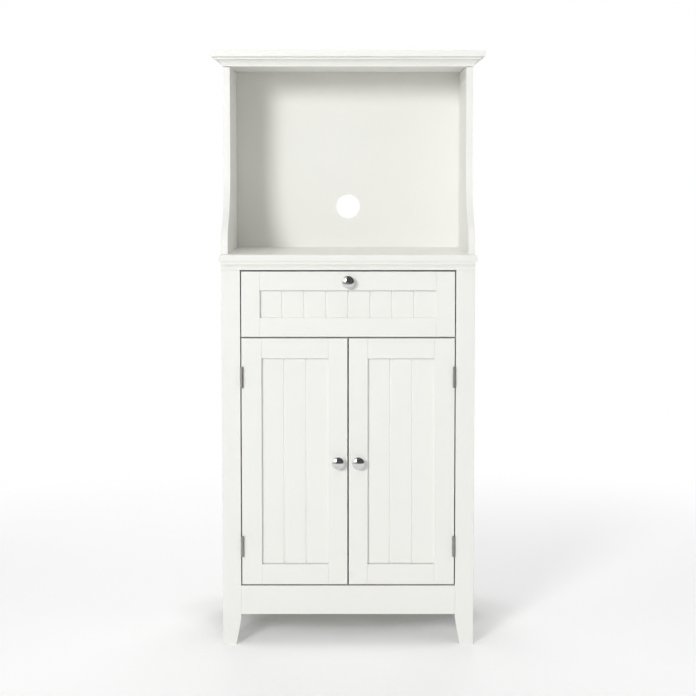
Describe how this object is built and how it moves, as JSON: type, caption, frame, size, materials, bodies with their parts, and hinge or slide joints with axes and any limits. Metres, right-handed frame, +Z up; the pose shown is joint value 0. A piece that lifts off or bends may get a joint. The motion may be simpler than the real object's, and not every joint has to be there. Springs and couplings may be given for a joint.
{
  "type": "microwave stand",
  "caption": "White microwave stand: an open hutch for the microwave over a counter, one drawer on roller runners, and a cupboard with two doors and a shelf.",
  "frame": {"origin": "on the floor, under the middle of the stand: half its width, and half its depth from the knobs' faces to the back", "axes": "X to the right seen from the front, Y to the back, Z up; the doors and the drawer open towards -Y"},
  "size_m": [0.64, 0.411, 1.384],
  "materials": {
    "white_paint": "satin white paint over board",
    "white_back": "thin white-faced back panel",
    "raw_wood": "unpainted softwood",
    "knob_metal": "polished",
    "hinge_metal": "dull nickel plate",
    "fitting_metal": "zinc",
    "runner_metal": "white powder coat",
    "roller_plastic": "moulded nylon",
    "catch_plastic": "moulded"
  },
  "bodies": {
    "stand": {"apron": "white_paint", "base_back": "white_back", "bottom_panel": "white_paint", "cabinet_runner_left": "runner_metal", "cabinet_runner_right": "runner_metal", "cam_bolts": "fitting_metal", "cam_locks": "fitting_metal", "cornice_board": "white_paint", "cornice_moulding_front": "white_paint", "cornice_moulding_left": "white_paint", "cornice_moulding_right": "white_paint", "counter_moulding": "white_paint", "counter_top": "white_paint", "divider_panel": "white_paint", "dowels": "raw_wood", "front_leg_left": "white_paint", "front_leg_right": "white_paint", "hinge_frame_leaves": "hinge_metal", "hinge_pins": "hinge_metal", "hutch_back": "white_back", "hutch_side_left": "white_paint", "hutch_side_right": "white_paint", "hutch_top": "white_paint", "magnet_catches": "catch_plastic", "rear_apron": "white_paint", "runner_batten_left": "raw_wood", "runner_batten_right": "raw_wood", "shelf": "white_paint", "shelf_pins": "fitting_metal", "side_panel_left": "white_paint", "side_panel_right": "white_paint", "top_rail": "white_paint"},
    "drawer": {"drawer_back": "white_paint", "drawer_bottom": "white_back", "drawer_box_front": "white_paint", "drawer_front_panel": "white_paint", "drawer_front_rails": "white_paint", "drawer_front_stile_left": "white_paint", "drawer_front_stile_right": "white_paint", "drawer_knob": "knob_metal", "drawer_runner_left": "runner_metal", "drawer_runner_right": "runner_metal", "drawer_side_left": "white_paint", "drawer_side_right": "white_paint"},
    "left_door": {"left_door_hinge_leaves": "hinge_metal", "left_door_hinge_stile": "white_paint", "left_door_knob": "knob_metal", "left_door_meeting_stile": "white_paint", "left_door_panel": "white_paint", "left_door_rails": "white_paint", "left_door_strike": "fitting_metal"},
    "right_door": {"right_door_hinge_leaves": "hinge_metal", "right_door_hinge_stile": "white_paint", "right_door_knob": "knob_metal", "right_door_meeting_stile": "white_paint", "right_door_panel": "white_paint", "right_door_rails": "white_paint", "right_door_strike": "fitting_metal"},
    "cabinet_rollers": {"cabinet_rollers": "roller_plastic"},
    "drawer_rollers": {"drawer_rollers": "roller_plastic"}
  },
  "joints": [
    {"name": "drawer_slide", "type": "slide", "parent": "stand", "child": "drawer", "axis": [0, -1, 0], "range_m": [0, 0.265]},
    {"name": "left_door_hinge", "type": "hinge", "parent": "stand", "child": "left_door", "pos_m": [-0.24525, -0.1835, 0.43025], "axis": [0, 0, -1], "range_deg": [0, 170]},
    {"name": "right_door_hinge", "type": "hinge", "parent": "stand", "child": "right_door", "pos_m": [0.24525, -0.1835, 0.43025], "axis": [0, 0, 1], "range_deg": [0, 170]},
    {"name": "cabinet_roller_spin", "type": "hinge", "parent": "stand", "child": "cabinet_rollers", "pos_m": [0, -0.1475, 0.74095], "axis": [1, 0, 0], "continuous": true},
    {"name": "drawer_roller_spin", "type": "hinge", "parent": "drawer", "child": "drawer_rollers", "pos_m": [0, 0.1785, 0.74075], "axis": [1, 0, 0], "continuous": true}
  ],
  "couplings": [
    {"joint": "cabinet_roller_spin", "follows": "drawer_slide", "rad_per_m": 111.11},
    {"joint": "drawer_roller_spin", "follows": "drawer_slide", "rad_per_m": 111.11}
  ]
}
